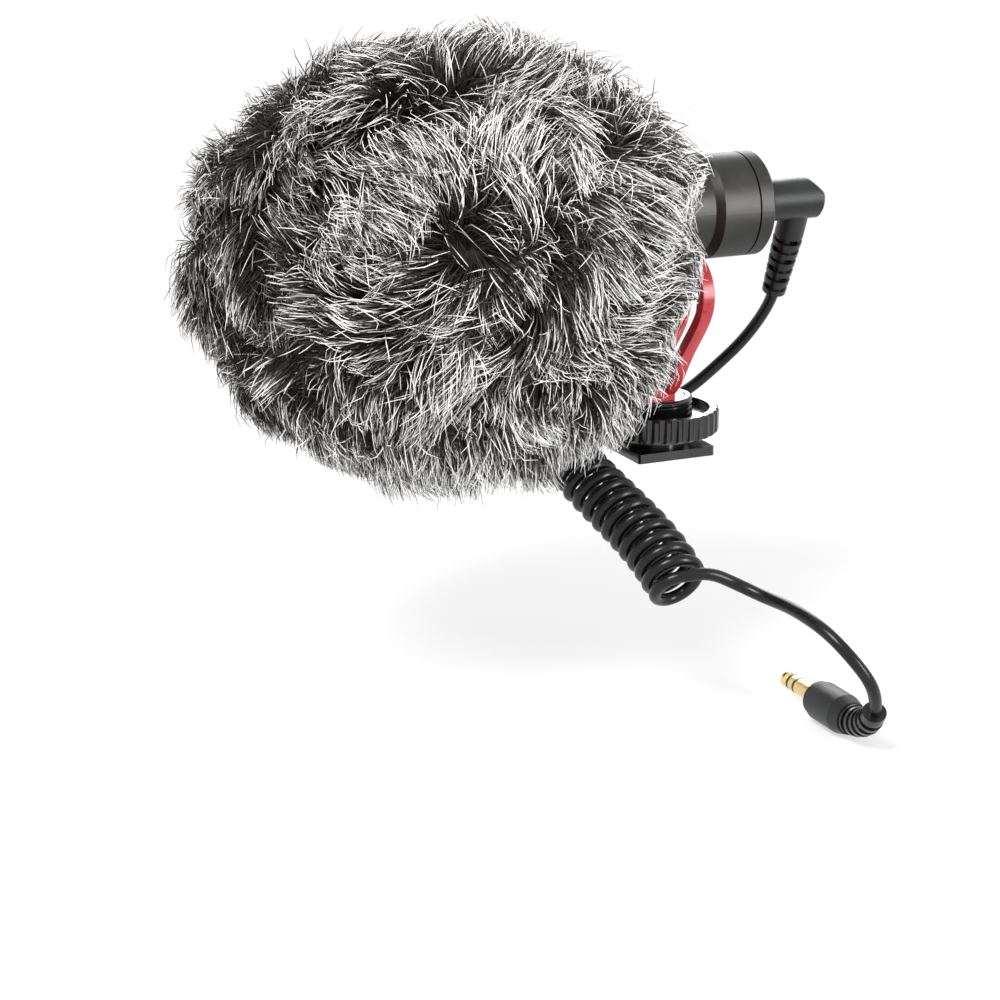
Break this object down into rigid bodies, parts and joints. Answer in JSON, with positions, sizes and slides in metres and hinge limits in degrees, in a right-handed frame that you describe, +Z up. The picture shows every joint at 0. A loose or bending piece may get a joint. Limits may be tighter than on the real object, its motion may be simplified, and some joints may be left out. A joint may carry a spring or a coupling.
{
  "type": "on-camera microphone",
  "caption": "Compact camera-top microphone with a fur windshield, held by a red lyre shock mount on a threaded shoe foot, with an angled plug and a curly cord to a straight plug.",
  "frame": {"origin": "centre of the shoe foot's underside", "axes": "+Z up, the microphone's front points to -Y and its plug to +Y, +X is the side the cord's camera plug lies on"},
  "size_m": [0.1208, 0.1395, 0.139],
  "materials": {
    "dark_metal": "satin dark grey anodised",
    "black_gloss": "gloss black",
    "washer_fibre": "dark brown fibre",
    "black_matte": "fine-textured matte black",
    "red_plastic": "smooth red",
    "cord_rubber": "smooth, slightly glossy black",
    "relief_rubber": "satin black",
    "steel": "plain steel",
    "gold": "gold-plated contact",
    "can_metal": "plain aluminium",
    "film": "thin metallised film",
    "ring_plastic": "white moulded spacer",
    "insulator": "black insulating rings",
    "capsule_rubber": "soft dark grey rubber",
    "board": "green circuit board",
    "component": "black components",
    "wire": "thin insulated wire",
    "cloth": "fine black acoustic cloth",
    "foam": "open-cell foam",
    "lining": "knitted lining",
    "fur": "long-haired fur, black-brown with white tips",
    "cuff": "ribbed elastic band"
  },
  "bodies": {
    "mount": {"shoe_foot": "black_gloss", "lyre_screw": "steel", "lyre_nut": "steel", "lyre": "red_plastic"},
    "washer": {"clamp_washer": "washer_fibre"},
    "ring": {"lock_ring": "black_gloss"},
    "microphone": {"front_tube": "dark_metal", "front_grille": "dark_metal", "grille_ring": "ring_plastic", "slot_cloth": "cloth", "rear_barrel": "dark_metal", "rear_cap": "dark_metal", "jack_socket": "black_matte", "jack_contacts": "gold", "jack_nut": "steel", "capsule_can": "can_metal", "diaphragm_ring": "gold", "diaphragm": "film", "capsule_spacer": "ring_plastic", "backplate": "gold", "capsule_sleeve": "ring_plastic", "capsule_rear_board": "board", "capsule_mount": "capsule_rubber", "circuit_board": "board", "board_parts": "component", "capsule_leads": "wire", "cord_near": "cord_rubber", "cord_coil": "cord_rubber", "cord_far": "cord_rubber", "camera_plug_body": "black_matte", "camera_plug_relief": "relief_rubber", "camera_plug_sleeve": "gold", "camera_plug_ring": "gold", "camera_plug_tip": "gold", "camera_plug_insulators": "insulator"},
    "windshield": {"foam_core": "foam", "cover_lining": "lining", "fur_cover": "fur", "elastic_cuff": "cuff"},
    "angle_plug": {"angle_plug_body": "black_matte", "angle_plug_relief": "relief_rubber", "angle_plug_sleeve": "gold", "angle_plug_ring": "gold", "angle_plug_tip": "gold", "angle_plug_insulators": "insulator"}
  },
  "joints": [
    {"name": "suspension_travel", "type": "slide", "parent": "mount", "child": "microphone", "axis": [0, 1, 0], "range_m": [-0.002, 0.002], "stiffness_N_per_m": 400, "deforming": ["lyre"]},
    {"name": "windshield_pull", "type": "slide", "parent": "microphone", "child": "windshield", "axis": [0, -1, 0], "range_m": [0, 0.075]},
    {"name": "plug_pull", "type": "slide", "parent": "microphone", "child": "angle_plug", "axis": [0, 1, 0], "range_m": [0, 0.016], "deforming": ["cord_near"]},
    {"name": "washer_lift", "type": "slide", "parent": "mount", "child": "washer", "axis": [0, 0, 1], "range_m": [-0.0014, 0.0025]},
    {"name": "ring_turn", "type": "hinge", "parent": "washer", "child": "ring", "pos_m": [0, 0, 0.007], "axis": [0, 0, 1], "range_deg": [-504, 900]}
  ],
  "couplings": [
    {"joint": "washer_lift", "follows": "ring_turn", "m_per_rad": 0.00015915}
  ]
}
